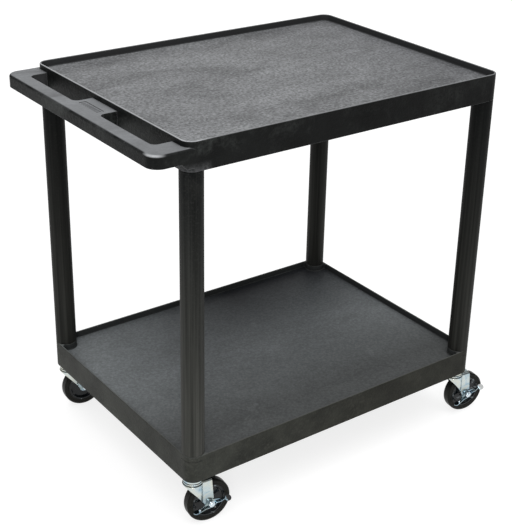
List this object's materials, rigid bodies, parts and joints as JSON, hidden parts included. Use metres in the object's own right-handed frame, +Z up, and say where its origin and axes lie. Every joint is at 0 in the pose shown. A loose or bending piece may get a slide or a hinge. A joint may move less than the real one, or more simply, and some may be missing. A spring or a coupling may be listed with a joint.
{
  "type": "food service trolley",
  "caption": "Moulded plastic food service trolley with lipped trays on round legs, a push handle moulded onto the top tray, and swivel casters with side brake levers.",
  "frame": {"origin": "on the floor, midway along the overall length from the handle to the front wheels and midway across the width", "axes": "+Z up; +X along the length, away from the handle; +Y to the left of a person who pushes"},
  "size_m": [0.9455, 0.6301, 0.877],
  "materials": {
    "top_tray_plastic": "fine pebble grain",
    "bottom_tray_plastic": "fine pebble grain",
    "leg_plastic": "satin",
    "sleeve_plastic": "natural nylon",
    "zinc_plate": "bright zinc plate",
    "brake_zinc": "bright zinc plate",
    "steel_fastener": "zinc plate",
    "bearing_steel": "polished",
    "wheel_core_plastic": "moulded gloss",
    "tyre_rubber": "smooth hard rubber"
  },
  "bodies": {
    "frame": {"top_tray": "top_tray_plastic", "bottom_tray": "bottom_tray_plastic", "rear_right_leg": "leg_plastic", "rear_right_stem": "zinc_plate", "rear_right_stem_ring": "steel_fastener", "rear_right_stem_sleeve": "sleeve_plastic", "front_right_leg": "leg_plastic", "front_right_stem": "zinc_plate", "front_right_stem_ring": "steel_fastener", "front_right_stem_sleeve": "sleeve_plastic", "rear_left_leg": "leg_plastic", "rear_left_stem": "zinc_plate", "rear_left_stem_ring": "steel_fastener", "rear_left_stem_sleeve": "sleeve_plastic", "front_left_leg": "leg_plastic", "front_left_stem": "zinc_plate", "front_left_stem_ring": "steel_fastener", "front_left_stem_sleeve": "sleeve_plastic"},
    "rear_right_swivel": {"rear_right_fork": "zinc_plate", "rear_right_swivel_balls": "bearing_steel", "rear_right_axle_bolt": "steel_fastener", "rear_right_axle_nut": "steel_fastener", "rear_right_axle_sleeve": "bearing_steel", "rear_right_axle_washers": "sleeve_plastic"},
    "rear_right_wheel": {"rear_right_wheel_core": "wheel_core_plastic", "rear_right_tyre": "tyre_rubber"},
    "rear_right_brake": {"rear_right_brake_lever": "brake_zinc", "rear_right_brake_pin": "steel_fastener"},
    "front_right_swivel": {"front_right_fork": "zinc_plate", "front_right_swivel_balls": "bearing_steel", "front_right_axle_bolt": "steel_fastener", "front_right_axle_nut": "steel_fastener", "front_right_axle_sleeve": "bearing_steel", "front_right_axle_washers": "sleeve_plastic"},
    "front_right_wheel": {"front_right_wheel_core": "wheel_core_plastic", "front_right_tyre": "tyre_rubber"},
    "front_right_brake": {"front_right_brake_lever": "brake_zinc", "front_right_brake_pin": "steel_fastener"},
    "rear_left_swivel": {"rear_left_fork": "zinc_plate", "rear_left_swivel_balls": "bearing_steel", "rear_left_axle_bolt": "steel_fastener", "rear_left_axle_nut": "steel_fastener", "rear_left_axle_sleeve": "bearing_steel", "rear_left_axle_washers": "sleeve_plastic"},
    "rear_left_wheel": {"rear_left_wheel_core": "wheel_core_plastic", "rear_left_tyre": "tyre_rubber"},
    "front_left_swivel": {"front_left_fork": "zinc_plate", "front_left_swivel_balls": "bearing_steel", "front_left_axle_bolt": "steel_fastener", "front_left_axle_nut": "steel_fastener", "front_left_axle_sleeve": "bearing_steel", "front_left_axle_washers": "sleeve_plastic"},
    "front_left_wheel": {"front_left_wheel_core": "wheel_core_plastic", "front_left_tyre": "tyre_rubber"}
  },
  "joints": [
    {"name": "rear_right_swivel_turn", "type": "hinge", "parent": "frame", "child": "rear_right_swivel", "pos_m": [-0.3745, -0.278, 0.11], "axis": [0, 0, 1], "continuous": true},
    {"name": "rear_right_wheel_spin", "type": "hinge", "parent": "rear_right_swivel", "child": "rear_right_wheel", "pos_m": [-0.34171, -0.28168, 0.0508], "axis": [0.1115, 0.9938, 0], "continuous": true},
    {"name": "rear_right_brake_press", "type": "hinge", "parent": "rear_right_swivel", "child": "rear_right_brake", "pos_m": [-0.34171, -0.28168, 0.0508], "axis": [0.1115, 0.9938, 0], "range_deg": [0, 12.5]},
    {"name": "front_right_swivel_turn", "type": "hinge", "parent": "frame", "child": "front_right_swivel", "pos_m": [0.3885, -0.278, 0.11], "axis": [0, 0, 1], "continuous": true},
    {"name": "front_right_wheel_spin", "type": "hinge", "parent": "front_right_swivel", "child": "front_right_wheel", "pos_m": [0.42119, -0.28254, 0.0508], "axis": [0.1374, 0.9905, 0], "continuous": true},
    {"name": "front_right_brake_press", "type": "hinge", "parent": "front_right_swivel", "child": "front_right_brake", "pos_m": [0.42119, -0.28254, 0.0508], "axis": [0.1374, 0.9905, 0], "range_deg": [0, 26]},
    {"name": "rear_left_swivel_turn", "type": "hinge", "parent": "frame", "child": "rear_left_swivel", "pos_m": [-0.3745, 0.278, 0.11], "axis": [0, 0, 1], "continuous": true},
    {"name": "rear_left_wheel_spin", "type": "hinge", "parent": "rear_left_swivel", "child": "rear_left_wheel", "pos_m": [-0.34159, 0.27558, 0.0508], "axis": [0.0732, 0.9973, 0], "continuous": true},
    {"name": "front_left_swivel_turn", "type": "hinge", "parent": "frame", "child": "front_left_swivel", "pos_m": [0.3885, 0.278, 0.11], "axis": [0, 0, 1], "continuous": true},
    {"name": "front_left_wheel_spin", "type": "hinge", "parent": "front_left_swivel", "child": "front_left_wheel", "pos_m": [0.41989, 0.2882, 0.0508], "axis": [-0.309, 0.9511, 0], "continuous": true}
  ]
}
